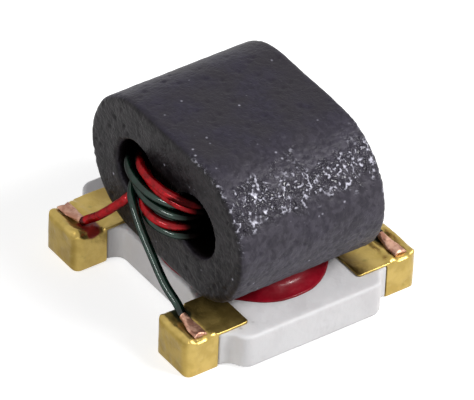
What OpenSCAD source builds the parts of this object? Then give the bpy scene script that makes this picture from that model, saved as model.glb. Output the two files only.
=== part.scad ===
// Open wire-wound RF transformer for surface mounting.
// A two-hole ferrite core, wound with two enamelled wires, is glued to a moulded header
// whose four corner lugs carry gold-plated terminal caps.
// Millimetres. +Z up, the board plane is Z = 0, X and Y are centred on the terminals,
// and the core's holes run along Y.

/* [Header] */
// Length of the header plate along X
header_len = 4.06; // [3.70:0.02:5.00]
// Width of the header plate along Y, between its plain side faces
header_wid = 2.40; // [2.20:0.02:2.80]
// Height of the header's top face above the board
header_top = 0.57; // [0.45:0.01:0.80]
// Gap between the board and the underside of the header
header_lift = 0.03; // [0.01:0.01:0.08]
// Length along Y of the S-curved shoulder at each corner
shoulder_len = 0.41; // [0.30:0.01:0.50]
// Radius of the inside corner between a lug and the side face
lug_fillet = 0.17; // [0.05:0.01:0.20]
// Radius of the plate's moulded edges
header_edge_r = 0.04; // [0.01:0.005:0.08]

/* [Terminals] */
// Overall span of the part along Y, over the terminals
terminal_span = 3.88; // [3.66:0.01:4.60]
// Distance along X between the two terminals of one side
terminal_pitch = 2.72; // [2.50:0.02:3.30]
// Width of a terminal along X
terminal_wid = 0.80; // [0.60:0.01:1.00]
// Depth of the terminal cap along Y
terminal_depth = 0.53; // [0.40:0.01:0.60]
// Thickness of the terminal's sheet
sheet_t = 0.05; // [0.03:0.005:0.07]
// Length of the tongue that lies on the header
tongue_len = 0.49; // [0.20:0.01:0.60]
// Radius of the cap's upright outer corners
cap_corner_r = 0.16; // [0.06:0.01:0.20]
// Radius of the cap's lower edges
cap_foot_r = 0.05; // [0.02:0.01:0.16]
// Radius of the cap's rolled upper edge
cap_top_r = 0.06; // [0.03:0.01:0.10]
// Clearance between a cap and its lug, on each side
cap_fit = 0.005; // [0.002:0.001:0.02]

/* [Core] */
// Width of the core along X
core_wid = 3.68; // [3.00:0.02:4.50]
// Height of the core along Z
core_hgt = 2.22; // [1.80:0.02:2.80]
// Length of the core along Y
core_len = 2.44; // [2.00:0.02:3.00]
// Offset of the core from the middle of the header, along X
core_dx = 0.17; // [-0.20:0.01:0.20]
// Offset of the core from the middle of the header, along Y
core_dy = -0.06; // [-0.10:0.01:0.10]
// Radius of the tumbled rims
rim_r = 0.09; // [0.03:0.01:0.20]
// Diameter of each hole
hole_d = 0.94; // [0.76:0.02:1.16]
// Distance between the two hole axes
hole_pitch = 1.40; // [1.24:0.02:1.70]
// Radius of the rounded hole mouths
mouth_r = 0.06; // [0.02:0.01:0.10]

/* [Adhesive] */
// Thickness of the adhesive between the header and the core
glue_t = 0.13; // [0.10:0.01:0.20]
// Half length of the adhesive pad along X
pad_rx = 1.47; // [1.00:0.01:1.60]
// Half width of the adhesive pad along Y
pad_ry = 1.16; // [0.80:0.01:1.16]
// How high the adhesive climbs the core's flank above the header
climb = 0.30; // [0.20:0.01:0.40]

/* [Wires] */
// Diameter over the enamel
wire_d = 0.13; // [0.08:0.01:0.16]
// Least gap between neighbouring turns
turn_gap = 0.02; // [0.01:0.005:0.03]
// Width of the flattened bare wire end
tail_wid = 0.20; // [0.14:0.01:0.26]
// Thickness of the flattened bare wire end
tail_t = 0.07; // [0.03:0.01:0.08]
// Depth of the dimple that the weld presses into a terminal
weld_sink = 0.02; // [0.005:0.005:0.025]
// Room in the dimple beside the flattened wire end
weld_room = 0.02; // [0.01:0.005:0.03]

/* [Hidden] */

eps = 0.01;
arc_steps = 8;
edge_steps = 3;
round_fn = 96;
edge_fn = 32;

terminal_top = header_top + sheet_t;
cap_inner_y = terminal_span / 2 - terminal_depth;
cap_mid_y = terminal_span / 2 - terminal_depth / 2;
shoulder_y = cap_inner_y - shoulder_len;

core_end_r = core_hgt / 2;
core_mid_len = core_wid - core_hgt;
core_z = header_top + glue_t + core_end_r;
front_y = core_dy - core_len / 2;
rear_y = core_dy + core_len / 2;
hole_r = hole_d / 2;
left_hole_x = core_dx - hole_pitch / 2;
right_hole_x = core_dx + hole_pitch / 2;

wire_r = wire_d / 2;
turn_pitch = wire_d + turn_gap;
wire_sides = 10;
bow_steps = 14;
lead_steps = 5;
// The outermost wire's distance from its hole's axis, in turn pitches
fan_reach = 2.1;
fan_r = fan_reach * turn_pitch + wire_r;
// How steeply a turn may bend inside a hole
bend_slope = 0.3;
// How far inside a hole each turn starts to bend
bend_depth = (hole_r - fan_r) / bend_slope;
// Least gap between a turn and the core's end face
face_gap = 0.02;
// Where a wire meets its terminal: [x, y] of the weld's start and of the wire's tip, from the
// middle of the terminal, towards the part's end and outwards
weld_start = [-0.15, -0.02];
weld_tip = [0.34, 0];

// ---------------------------------------------------------------- small helpers

// Points of an arc about c, from angle a0 to a1.
function arc(c, r, a0, a1) =
    [for (i = [0 : arc_steps]) let (a = a0 + (a1 - a0) * i / arc_steps)
        c + r * [cos(a), sin(a)]];

function reversed(list) = [for (i = [len(list) - 1 : -1 : 0]) list[i]];

function unit(v) = v / norm(v);

// A rectangle from the origin with its own radius at each corner, in the order
// lower left, lower right, upper right, upper left.
module corner_rect(size, radii) {
    w = size.x;
    h = size.y;
    ll = radii[0];
    lr = radii[1];
    ur = radii[2];
    ul = radii[3];
    polygon([[ll, 0], [w - lr, 0], [w, lr], [w, h - ur], [w - ur, h], [ul, h], [0, h - ul], [0, ll]]);
    centres = [[ll, ll], [w - lr, lr], [w - ur, h - ur], [ul, h - ul]];
    for (i = [0 : 3])
        if (radii[i] > 0)
            translate(centres[i]) circle(radii[i], $fn = edge_fn);
}

// Repeats its children in the four quadrants.
module four_corners() {
    for (mx = [0, 1], my = [0, 1])
        mirror([mx, 0, 0]) mirror([0, my, 0]) children();
}

// ---------------------------------------------------------------- header

// One quarter of the plate's outline, drawn in by inset: the S-curved shoulder, which is two
// equal arcs that meet at its middle, and the lug with its inside fillet. The plate's plain end
// and side faces lie between the quarters.
function plate_quarter(inset) =
    let (x_end = header_len / 2,
         y_side = header_wid / 2,
         lug_out = terminal_pitch / 2 + terminal_wid / 2 - cap_fit,
         lug_in = terminal_pitch / 2 - terminal_wid / 2 + cap_fit,
         dx = x_end - lug_out,
         dy = cap_inner_y - shoulder_y,
         r = (dx * dx + dy * dy) / (4 * dx),
         sweep = asin(dy / 2 / r))
    concat(
        arc([x_end - r, shoulder_y], r - inset, 0, sweep),
        [for (i = [arc_steps - 1 : -1 : 0])
            arc([lug_out + r, cap_inner_y], r + inset, 180, 180 + sweep)[i]],
        [[lug_in + inset, cap_inner_y]],
        arc([lug_in - lug_fillet, y_side + lug_fillet], lug_fillet + inset, 0, -90));

// The whole outline, counterclockwise from the middle of the right end.
function plate_outline(inset) =
    let (q = plate_quarter(inset), across = reversed(q))
    concat(q,
           [for (p = across) [-p.x, p.y]],
           [for (p = q) [-p.x, -p.y]],
           [for (p = across) [p.x, -p.y]]);

// The plate: outlines at rising levels, drawn in towards its moulded edges.
module plate() {
    r = header_edge_r;
    edge = [for (i = [0 : edge_steps]) let (a = 90 * i / edge_steps) [r * (1 - sin(a)), r * (1 - cos(a))]];
    levels = concat(
        [for (e = edge) [e[0], header_lift + e[1]]],
        [for (e = reversed(edge)) [e[0], header_top - e[1]]]);
    ring = len(plate_outline(0));
    points = [for (level = levels, p = plate_outline(level[0])) [p.x, p.y, level[1]]];
    walls = [for (k = [0 : len(levels) - 2], i = [0 : ring - 1])
        let (j = (i + 1) % ring, a = k * ring, b = a + ring)
            [a + i, b + i, b + j, a + j]];
    underside = [[for (i = [0 : ring - 1]) i]];
    top_face = [[for (i = [ring - 1 : -1 : 0]) (len(levels) - 1) * ring + i]];
    polyhedron(points, concat(walls, underside, top_face));
}

module base() {
    lug_wid = terminal_wid - 2 * (sheet_t + cap_fit);
    lug_len = terminal_depth - sheet_t - cap_fit;
    lug_z = sheet_t + cap_fit;
    color("gainsboro") {
        plate();
        four_corners()
            translate([terminal_pitch / 2 - lug_wid / 2, cap_inner_y - eps, lug_z])
                cube([lug_wid, lug_len + eps, header_top - lug_z]);
    }
}

// ---------------------------------------------------------------- terminals

// The outer form of the cap: three rounded profiles, one for each direction, intersected.
module cap_form() {
    w = terminal_wid;
    d = terminal_depth;
    h = terminal_top;
    c = cap_corner_r;
    f = cap_foot_r;
    t = cap_top_r;
    intersection() {
        linear_extrude(h) corner_rect([w, d], [0, 0, c, c]);
        translate([0, d, 0]) rotate([90, 0, 0])
            linear_extrude(d) corner_rect([w, h], [f, f, t, t]);
        rotate([90, 0, 90])
            linear_extrude(w) corner_rect([d, h], [0, f, t, 0]);
    }
}

// What the weld presses out of a terminal: a round-bottomed groove with round ends, under the
// flattened end of the wire.
module weld_dimple() {
    half = tail_wid / 2 + weld_room;
    r = (half * half + weld_sink * weld_sink) / (2 * weld_sink);
    translate([terminal_pitch / 2, cap_mid_y, terminal_top - weld_sink + r]) {
        translate([weld_start.x, 0, 0]) rotate([0, 90, 0])
            cylinder(weld_tip.x - weld_start.x, r = r, $fn = round_fn);
        for (x = [weld_start.x, weld_tip.x])
            translate([x, 0, 0]) sphere(r, $fn = round_fn);
    }
}

// A drawn cap that is closed at its outer end, with a tongue that runs inwards on the header.
module terminal() {
    x0 = terminal_pitch / 2 - terminal_wid / 2;
    tongue_y = cap_inner_y - tongue_len;
    tongue_r = min(sheet_t, tongue_len / 4);
    color("goldenrod") {
        difference() {
            translate([x0, cap_inner_y, 0]) cap_form();
            translate([x0 + sheet_t, cap_inner_y - eps, sheet_t])
                cube([terminal_wid - 2 * sheet_t, terminal_depth - sheet_t + eps, header_top - sheet_t]);
            weld_dimple();
        }
        translate([x0, tongue_y, header_top])
            linear_extrude(sheet_t)
                corner_rect([terminal_wid, tongue_len + cap_top_r], [tongue_r, tongue_r, 0, 0]);
    }
}

module terminal_rear_right() { terminal(); }
module terminal_rear_left() { mirror([1, 0, 0]) terminal(); }
module terminal_front_right() { mirror([0, 1, 0]) terminal(); }
module terminal_front_left() { mirror([1, 0, 0]) mirror([0, 1, 0]) terminal(); }

// ---------------------------------------------------------------- core

// Outer form of the core: a middle block and two half-round ends, all with rounded rims.
module core_form() {
    r = core_end_r;
    rim = rim_r;
    l = core_len;
    translate([core_dx - core_mid_len / 2, core_dy - l / 2, core_z - r])
        rotate([90, 0, 90])
            linear_extrude(core_mid_len)
                corner_rect([l, 2 * r], [rim, rim, rim, rim]);
    for (side = [-1, 1])
        translate([core_dx + side * core_mid_len / 2, core_dy, core_z])
            rotate([90, 0, 0]) rotate([0, 0, side * 90 - 180])
                rotate_extrude(angle = 180, $fn = round_fn)
                    translate([0, -l / 2])
                        corner_rect([r, l], [0, rim, rim, 0]);
}

// Everything that one hole removes: the bore and its two rounded mouths.
module hole_form() {
    half = core_len / 2;
    rotate([90, 0, 0])
        rotate_extrude($fn = round_fn) {
            translate([0, -half - eps]) square([hole_r, core_len + 2 * eps]);
            for (m = [0, 1])
                mirror([0, m])
                    difference() {
                        translate([0, half - mouth_r]) square([hole_r + mouth_r, mouth_r + eps]);
                        translate([hole_r + mouth_r, half - mouth_r]) circle(mouth_r, $fn = edge_fn);
                    }
        }
}

module core() {
    color("dimgray")
        difference() {
            core_form();
            for (x = [left_hole_x, right_hole_x])
                translate([x, core_dy, core_z]) hole_form();
        }
}

// ---------------------------------------------------------------- adhesive

// An oval pad that shrinks as it climbs: the share of its size at each height.
pad_levels = [[0, 1.00], [0.12, 0.985], [0.40, 0.95], [1.00, 0.89]];
pad_steps = 48;

module pad_form() {
    points = [for (level = pad_levels, i = [0 : pad_steps - 1]) let (a = 360 * i / pad_steps)
        [pad_rx * level[1] * cos(a), pad_ry * level[1] * sin(a), climb * level[0]]];
    levels = len(pad_levels);
    sides = [for (k = [0 : levels - 2], i = [0 : pad_steps - 1])
        let (j = (i + 1) % pad_steps, a = k * pad_steps, b = a + pad_steps)
            [a + i, b + i, b + j, a + j]];
    floor_face = [[for (i = [0 : pad_steps - 1]) i]];
    roof_face = [[for (i = [pad_steps - 1 : -1 : 0]) (levels - 1) * pad_steps + i]];
    polyhedron(points, concat(sides, floor_face, roof_face));
}

module adhesive() {
    x0 = terminal_pitch / 2 - terminal_wid / 2;
    y0 = cap_inner_y - tongue_len;
    color("firebrick")
        difference() {
            translate([core_dx, 0, header_top]) pad_form();
            core_form();
            four_corners()
                translate([x0 - cap_fit, y0 - cap_fit, header_top - eps])
                    cube([terminal_wid + 2 * cap_fit, tongue_len, sheet_t + cap_fit + eps]);
        }
}

// ---------------------------------------------------------------- wires

// Each wire enters the left hole at the front, makes three turns round the web between the
// holes and leaves the left hole at the rear. A place in a hole is [towards the web, up] from
// the hole's axis, and a bow is [stand-off, lift at the left, lift at the right]. A near point
// of a lead is [towards the terminal, outwards, up] from where the wire leaves the hole, and
// stands off the bow that the lead crosses there. All of these are in turn pitches. A far
// point is [share of the way from the last near point to the weld, outwards, up], with the
// last two in millimetres.
red_left = [[-0.10, -2.10], [1.35, -0.75], [0.65, 1.60], [-0.20, 2.10]];
red_right = [[1.15, -1.05], [-0.15, 1.10], [-0.50, 2.05]];
red_front_bows = [[0.84, -0.30, -0.05], [0.08, 0.55, 0.85], [0.68, 0.85, 0.80]];
red_rear_bows = [[2.08, -0.25, 0.15], [0.78, 0.15, -0.25], [0.42, 0.10, 0.10]];
red_start_near = [[0, 0.67, -0.47], [0.45, 0.93, -1.13]];
red_start_far = [[0.30, -0.01, -0.03], [0.63, -0.02, -0.04], [0.89, -0.03, -0.01]];
red_end_near = [[0.53, 1.85, -0.67], [1.53, 2.55, -2.53]];
red_end_far = [[0.38, -0.04, -0.03], [0.77, -0.02, -0.05]];

green_left = [[-1.00, -0.85], [1.00, -1.85], [-0.55, 0.30], [-1.90, 0.90]];
green_right = [[0.75, -1.95], [1.05, 0.05], [1.50, 1.00]];
green_front_bows = [[0.19, -0.25, -0.10], [0.45, -0.15, -0.35], [-0.13, 0.25, -0.25]];
green_rear_bows = [[0.39, 0.05, -0.45], [-0.32, -0.05, 0.10], [0.09, 0.20, 0.30]];
green_start_near = [[2.00, 1.05, 0], [3.40, 1.15, -0.53], [5.27, 0.60, -2.07]];
green_start_far = [[0.28, 0, -0.06], [0.57, 0, -0.09], [0.85, -0.02, -0.04]];
green_end_near = [[0.67, 0.60, -0.47], [2.00, 2.13, -1.33], [4.73, 0.95, -3.27]];
green_end_far = [[0.38, 0, -0.09], [0.77, -0.03, -0.09]];

function left_place(p) = [left_hole_x + p[0] * turn_pitch, core_z + p[1] * turn_pitch];
function right_place(p) = [right_hole_x - p[0] * turn_pitch, core_z + p[1] * turn_pitch];

// The share of a bow at which it has gone the share s of the way across.
function bow_share(s) = 0.5 - sin(asin(1 - 2 * s) / 3);

// Half width of a hole at a wire's height.
function half_bore(height) = sqrt(hole_r * hole_r - (height - core_z) * (height - core_z));

// A bow's furthest control point: just far enough out to clear both edges of the web, and
// then by its stand-off.
function bow_reach(left, right, row) =
    let (need = bend_depth + wire_r + face_gap,
         edges = [left_hole_x + half_bore(left[1]), right_hole_x - half_bore(right[1])])
    max([for (e = edges)
        let (t = bow_share((e - left[0]) / (right[0] - left[0])))
            need / (3 * t * (1 - t))]) + row[0] * turn_pitch;

// How far a bow stands off the core's face at x, or 0 where it is still in a hole.
function bow_out(left, right, row, x) =
    let (across = (x - left[0]) / (right[0] - left[0]),
         t = bow_share(max(0, min(1, across))))
    max(0, 3 * t * (1 - t) * bow_reach(left, right, row) - bend_depth);

// One bow across the web, from the left hole to the right one, on the side out (-1 front, 1 rear).
function bow(left, right, out, row) =
    let (face = out < 0 ? front_y : rear_y,
         y0 = face - out * bend_depth,
         y1 = y0 + out * bow_reach(left, right, row),
         p0 = [left[0], y0, left[1]],
         p1 = [left[0], y1, left[1] + row[1] * turn_pitch],
         p2 = [right[0], y1, right[1] + row[2] * turn_pitch],
         p3 = [right[0], y0, right[1]])
    [for (i = [0 : bow_steps]) let (t = i / bow_steps, s = 1 - t)
        s * s * s * p0 + 3 * s * s * t * p1 + 3 * s * t * t * p2 + t * t * t * p3];

// A smooth line through the points.
function spline(p) =
    let (n = len(p), q = concat([2 * p[0] - p[1]], p, [2 * p[n - 1] - p[n - 2]]))
    concat([for (i = [1 : n - 1], k = [0 : lead_steps - 1])
        let (t = k / lead_steps, a = q[i - 1], b = q[i], c = q[i + 1], d = q[i + 2])
            0.5 * (2 * b + (c - a) * t + (2 * a - 5 * b + 4 * c - d) * t * t
                   + (3 * b - a - 3 * c + d) * t * t * t)],
        [p[n - 1]]);

// A lead from a place in the left hole to the terminal on the side out, left or right.
// hand is -1 for a left terminal and 1 for a right one, and crossed is the bow that the lead
// runs over, as bow_out() takes it.
function lead(place, out, hand, near, far, crossed) =
    let (face = out < 0 ? front_y : rear_y,
         mouth = [place[0], face, place[1]],
         pad = [hand * terminal_pitch / 2, out * cap_mid_y, terminal_top - weld_sink],
         weld = pad + [hand * weld_start[0], out * weld_start[1], wire_r],
         over_winding = [for (r = near)
             let (step = [hand * r[0], out * r[1], r[2]] * turn_pitch,
                  under = bow_out(crossed[0], crossed[1], crossed[2], mouth.x + step.x))
                 mouth + step + [0, out * under, 0]],
         last = over_winding[len(near) - 1])
    concat(
        spline(concat(
            [mouth - [0, out * bend_depth, 0], mouth - [0, out * bend_depth / 2, 0]],
            over_winding,
            [for (r = far) last + (weld - last) * r[0] + [0, out * r[1], r[2]]],
            [weld])),
        [for (k = [1 : 4]) let (f = k / 4)
            pad + [hand * (weld_start[0] + (weld_tip[0] - weld_start[0]) * f),
                   out * (weld_start[1] + (weld_tip[1] - weld_start[1]) * f),
                   tail_half(f)[1]]]);

// The red wire's first bow at the front and at the rear, which the leads run over.
first_front_bow = [left_place(red_left[1]), right_place(red_right[0]), red_front_bows[0]];
first_rear_bow = [left_place(red_left[0]), right_place(red_right[0]), red_rear_bows[0]];

// Half width and half thickness of the wire at the share f of its welded end.
function tail_half(f) =
    let (s = min(1, 2 * f))
    [wire_r + (tail_wid / 2 - wire_r) * s, wire_r + (tail_t / 2 - wire_r) * s];

// The whole route of a wire, from one welded tip to the other.
function wire_route(left, right, front_bows, rear_bows, hand, start_near, start_far, end_near, end_far) =
    concat(
        reversed(lead(left_place(left[0]), -1, hand, start_near, start_far, first_front_bow)),
        [for (k = [0 : len(right) - 1])
            each concat(
                bow(left_place(left[k]), right_place(right[k]), 1, rear_bows[k]),
                reversed(bow(left_place(left[k + 1]), right_place(right[k]), -1, front_bows[k])))],
        lead(left_place(left[len(left) - 1]), 1, hand, end_near, end_far, first_rear_bow));

// Drops points that repeat the one before them.
function distinct(p) = [for (i = [0 : len(p) - 1]) if (i == 0 || norm(p[i] - p[max(i - 1, 0)]) > 1e-6) p[i]];

// A tube along the route: round, and flattened over its first and last four steps.
module sweep_wire(route) {
    p = distinct(route);
    n = len(p);
    ring = wire_sides;
    points = [for (i = [0 : n - 1])
        let (ahead = unit(p[min(i + 1, n - 1)] - p[max(i - 1, 0)]),
             side = unit(cross(ahead, [0, 0, 1])),
             up = cross(side, ahead),
             from_tip = min(i, n - 1 - i),
             half = tail_half(max(0, 1 - from_tip / 4)))
        for (k = [0 : ring - 1]) let (a = 360 * (k + 0.5) / ring)
            p[i] + side * half[0] * cos(a) + up * half[1] * sin(a)];
    walls = [for (i = [0 : n - 2], k = [0 : ring - 1])
        let (j = (k + 1) % ring, a = i * ring, b = a + ring)
        each [[a + k, a + j, b + j], [a + k, b + j, b + k]]];
    polyhedron(points, concat(
        [[for (k = [ring - 1 : -1 : 0]) k]],
        walls,
        [[for (k = [0 : ring - 1]) (n - 1) * ring + k]]));
}

module red_wire() {
    color("crimson")
        sweep_wire(wire_route(red_left, red_right, red_front_bows, red_rear_bows, -1,
                              red_start_near, red_start_far, red_end_near, red_end_far));
}

module green_wire() {
    color("darkgreen")
        sweep_wire(wire_route(green_left, green_right, green_front_bows, green_rear_bows, 1,
                              green_start_near, green_start_far, green_end_near, green_end_far));
}

// ---------------------------------------------------------------- nodes

base();
core();
adhesive();
terminal_front_left();
terminal_front_right();
terminal_rear_left();
terminal_rear_right();
red_wire();
green_wire();
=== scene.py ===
# %% [markdown]
# # A wire-wound RF transformer, four millimetres long
#
# The part is an open surface-mount transformer: a ferrite core with two holes, two enamelled wires
# wound through them, and a moulded header with four gold-plated terminal caps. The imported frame
# holds every solid at its real size. This lesson gives each of them a real piece's mesh and finish.

# %% Load the frame
import bpy
import math
import numpy as np
from mathutils import Matrix, Quaternion, Vector, noise


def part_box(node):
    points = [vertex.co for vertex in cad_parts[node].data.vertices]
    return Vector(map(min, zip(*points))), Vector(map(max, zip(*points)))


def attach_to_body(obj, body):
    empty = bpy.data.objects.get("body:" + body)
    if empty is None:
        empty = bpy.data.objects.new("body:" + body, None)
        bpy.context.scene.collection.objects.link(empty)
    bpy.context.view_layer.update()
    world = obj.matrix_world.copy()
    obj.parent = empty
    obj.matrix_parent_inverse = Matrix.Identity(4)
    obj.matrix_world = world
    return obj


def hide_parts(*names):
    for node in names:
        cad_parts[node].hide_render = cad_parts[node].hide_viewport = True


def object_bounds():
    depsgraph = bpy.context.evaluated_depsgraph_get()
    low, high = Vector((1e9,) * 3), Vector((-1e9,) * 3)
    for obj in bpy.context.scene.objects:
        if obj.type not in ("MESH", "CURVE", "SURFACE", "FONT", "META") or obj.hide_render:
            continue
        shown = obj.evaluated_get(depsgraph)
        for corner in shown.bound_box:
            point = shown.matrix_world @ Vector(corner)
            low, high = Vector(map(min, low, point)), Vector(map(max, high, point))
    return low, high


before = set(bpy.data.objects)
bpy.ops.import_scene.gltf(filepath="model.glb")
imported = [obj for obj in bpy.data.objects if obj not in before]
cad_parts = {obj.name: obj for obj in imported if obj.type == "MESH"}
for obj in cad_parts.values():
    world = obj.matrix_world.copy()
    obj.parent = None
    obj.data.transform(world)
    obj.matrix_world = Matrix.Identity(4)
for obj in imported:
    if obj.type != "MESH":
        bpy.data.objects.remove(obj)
cad_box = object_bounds()
MM = 0.001
size_mm = [round(side / MM, 2) for side in cad_box[1] - cad_box[0]]
print("frame:", sorted(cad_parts), "size in mm:", size_mm)

# %% [markdown]
# ## Camera
#
# A part this small suits a long macro lens a hundred millimetres off, which keeps parallel edges
# almost parallel. A Track To constraint could aim the camera but couldn't roll it, so its three axes
# are worked out from three angles and written into its matrix.

# %% Aim the camera
AZIMUTH, ELEVATION, ROLL = 53.65, 38.33, 2.57
CAMERA_DISTANCE = 100 * MM
SENSOR_WIDTH = 36
FOCAL_LENGTH = 550.6
AIM = Vector((0.083, 0.015, 1.20)) * MM


def camera_axes(azimuth, elevation, roll):
    """Right, up and back vectors of a camera, from angles in degrees."""
    a, e, r = (math.radians(angle) for angle in (azimuth, elevation, roll))
    back = Vector((math.sin(a) * math.cos(e), -math.cos(a) * math.cos(e), math.sin(e)))
    level = Vector((math.cos(a), math.sin(a), 0))
    up = back.cross(level)
    return level * math.cos(r) + up * math.sin(r), up * math.cos(r) - level * math.sin(r), back


axes = camera_axes(AZIMUTH, ELEVATION, ROLL)
lens_data = bpy.data.cameras.new("macro_lens")
lens_data.sensor_width = SENSOR_WIDTH
lens_data.lens = FOCAL_LENGTH
lens_data.clip_start = CAMERA_DISTANCE / 10
lens_data.clip_end = CAMERA_DISTANCE * 10
camera = bpy.data.objects.new("macro_camera", lens_data)
camera.matrix_world = (Matrix.Translation(AIM + axes[2] * CAMERA_DISTANCE)
                       @ Matrix(axes).transposed().to_4x4())
bpy.context.scene.collection.objects.link(camera)
bpy.context.scene.camera = camera
print("camera at", [round(c / MM, 1) for c in camera.location], "mm")

# %% [markdown]
# ## Small tools for making solids
#
# The pieces are worked on in millimetres and scaled to metres at the end, because the remesher can't
# make cells this small in metres. Solids are joined or cut with booleans, and a voxel remesh gives
# the result an even skin of small squares. It rounds every edge a little, as moulding and tumbling
# do, and gives the later dents and pits something to move.

# %% Make, join and remesh
def new_piece(name, points, faces):
    """A mesh object from points and faces."""
    mesh = bpy.data.meshes.new(name)
    mesh.from_pydata([tuple(p) for p in points], [], [tuple(f) for f in faces])
    mesh.update()
    piece = bpy.data.objects.new(name, mesh)
    bpy.context.scene.collection.objects.link(piece)
    return piece


def apply_modifier(piece, kind, **settings):
    """Adds a modifier and makes its result the piece's own mesh."""
    modifier = piece.modifiers.new(kind, kind)
    for label, value in settings.items():
        setattr(modifier, label, value)
    graph = bpy.context.evaluated_depsgraph_get()
    mesh = bpy.data.meshes.new_from_object(piece.evaluated_get(graph))
    piece.modifiers.clear()
    piece.data = mesh


def combine(piece, tool, operation):
    """Boolean of two solids; the tool is used up."""
    apply_modifier(piece, "BOOLEAN", operation=operation, solver="EXACT", object=tool)
    bpy.data.objects.remove(tool)


def reskin(piece, cell):
    """Voxel remesh with cells of that size."""
    apply_modifier(piece, "REMESH", mode="VOXEL", voxel_size=cell)
    print(piece.name, "has a skin of", len(piece.data.polygons), "faces")


def soften(piece, rounds):
    """Relaxes the skin, which rounds its edges."""
    apply_modifier(piece, "SMOOTH", factor=0.5, iterations=rounds)

# %% Read, move and hand over
def places(piece):
    """The piece's vertices as an array."""
    co = np.zeros(len(piece.data.vertices) * 3)
    piece.data.vertices.foreach_get("co", co)
    return co.reshape(-1, 3)


def normals(piece):
    """The piece's vertex normals as an array."""
    out = np.zeros(len(piece.data.vertices) * 3, np.float32)
    piece.data.vertex_normals.foreach_get("vector", out)
    return out.reshape(-1, 3).astype(float)


def move_to(piece, points):
    """Gives the piece's vertices new places."""
    piece.data.vertices.foreach_set("co", np.asarray(points, np.float32).ravel())
    piece.data.update()


def box_mm(node):
    """A node's lowest and highest corners, in millimetres."""
    low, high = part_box(node)
    return np.array(low) / MM, np.array(high) / MM


def finish_piece(piece, material, node):
    """Scales the piece to metres, shades it smooth and hands it to the frame."""
    move_to(piece, places(piece) * MM)
    piece.data.polygons.foreach_set("use_smooth", [True] * len(piece.data.polygons))
    piece.data.materials.clear()
    piece.data.materials.append(material)
    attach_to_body(piece, "root")
    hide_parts(node)
    triangles = sum(len(p.vertices) - 2 for p in piece.data.polygons)
    print(piece.name, "stands for", node, "with", triangles, "triangles")


for node in sorted(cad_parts):
    print(node, "reaches", *(corner.round(3) for corner in box_mm(node)), "mm")

# %% [markdown]
# ## Outlines and what is made from them
#
# A moulded or drawn piece is an outline pushed along an axis, and a turned or tumbled one is a stack
# of rings. Blender's cubes and cylinders would do for plain blocks, but here one outline has several
# radii, so both kinds are made from points that are worked out.

# %% Outlines and solids
def arc_points(centre, radius, start, end, steps=12):
    """Points on an arc, angles in degrees."""
    angles = np.radians(np.linspace(start, end, steps + 1))
    return [(centre[0] + radius * math.cos(a), centre[1] + radius * math.sin(a)) for a in angles]


def rounded_outline(low, high, radii=(0, 0, 0, 0)):
    """A rectangle with radii for its corners, counterclockwise from the lower left."""
    corners = [(low[0], low[1], 180), (high[0], low[1], 270), (high[0], high[1], 0), (low[0], high[1], 90)]
    inward = [(1, 1), (-1, 1), (-1, -1), (1, -1)]
    outline = []
    for (x, y, start), (sx, sy), r in zip(corners, inward, radii):
        outline += arc_points((x + sx * r, y + sy * r), r, start, start + 90) if r else [(x, y)]
    return outline


def stacked_rings(name, rings):
    """A closed solid from rings with equally many points."""
    count = len(rings[0])
    last = (len(rings) - 1) * count
    walls = [(k + i, k + (i + 1) % count, k + count + (i + 1) % count, k + count + i)
             for k in range(0, last, count) for i in range(count)]
    caps = [range(count)[::-1], range(last, last + count)]
    return new_piece(name, [p for ring in rings for p in ring], walls + caps)


TURNS = {"z": 0, "x": 1, "y": 2}


def push_out(name, outline, axis, low, high):
    """A solid from an outline in the two other axes, in cyclic order, pushed from low to high."""
    rings = [[(u, v, w) for u, v in outline] for w in (low, high)]
    return stacked_rings(name, np.roll(rings, TURNS[axis], 2))


CORNERS = [(sx, sy) for sx in (-1, 1) for sy in (-1, 1)]


def corner_box(name, corner, low, high):
    """A box given at the rear right corner, mirrored to the corner wanted."""
    (x0, x1), (y0, y1) = (sorted((side * a, side * b)) for side, a, b in zip(corner, low, high))
    return push_out(name, rounded_outline((x0, y0), (x1, y1)), "z", low[2], high[2])


print("outlines are pushed along", sorted(TURNS), "and boxes mirrored to", CORNERS)

# %% [markdown]
# ## Small tools for materials
#
# Materials are node trees, and most of their wiring is the same few steps: a sum, a fade from one
# value to another, a mix of two colours. With a function for each, a finish reads from top to bottom
# like a recipe. What the shapes know and a material needs, such as where a weld has heated a piece or
# where shade is painted, is kept on the mesh as attributes.

# %% Node tools
def attach(tree, value, socket):
    """Links another node's output to a socket, or writes a plain value on it."""
    if isinstance(value, bpy.types.NodeSocket):
        tree.links.new(value, socket)
    else:
        socket.default_value = value


def calculate(tree, operation, first, second):
    """A Math node with two values."""
    node = tree.nodes.new("ShaderNodeMath")
    node.operation = operation
    attach(tree, first, node.inputs[0])
    attach(tree, second, node.inputs[1])
    return node.outputs[0]


def fade(tree, value, start, end, low=0, high=1, kind="SMOOTHSTEP"):
    """A Map Range node: low at start, high at end."""
    node = tree.nodes.new("ShaderNodeMapRange")
    node.interpolation_type = kind
    labels = "Value", "From Min", "From Max", "To Min", "To Max"
    for label, given in zip(labels, (value, start, end, low, high)):
        attach(tree, given, node.inputs[label])
    return node.outputs[0]


def between(tree, mask, low, high):
    """A value that goes evenly from low to high with the mask."""
    return fade(tree, mask, 0, 1, low, high, "LINEAR")


def tint(tree, mask, first, second):
    """A colour between two, by the mask. Each may be a colour or another node's output."""
    node = tree.nodes.new("ShaderNodeMix")
    node.data_type = "RGBA"
    tree.links.new(mask, node.inputs["Factor"])
    for socket, colour in ((node.inputs[6], first), (node.inputs[7], second)):
        attach(tree, (*colour, 1) if isinstance(colour, tuple) else colour, socket)
    return node.outputs[2]


def feed(tree, shader, **values):
    """Sets or links the shader's sockets, such as Base_Color or Roughness."""
    for label, value in values.items():
        attach(tree, value, shader.inputs[label.replace("_", " ")])


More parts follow.
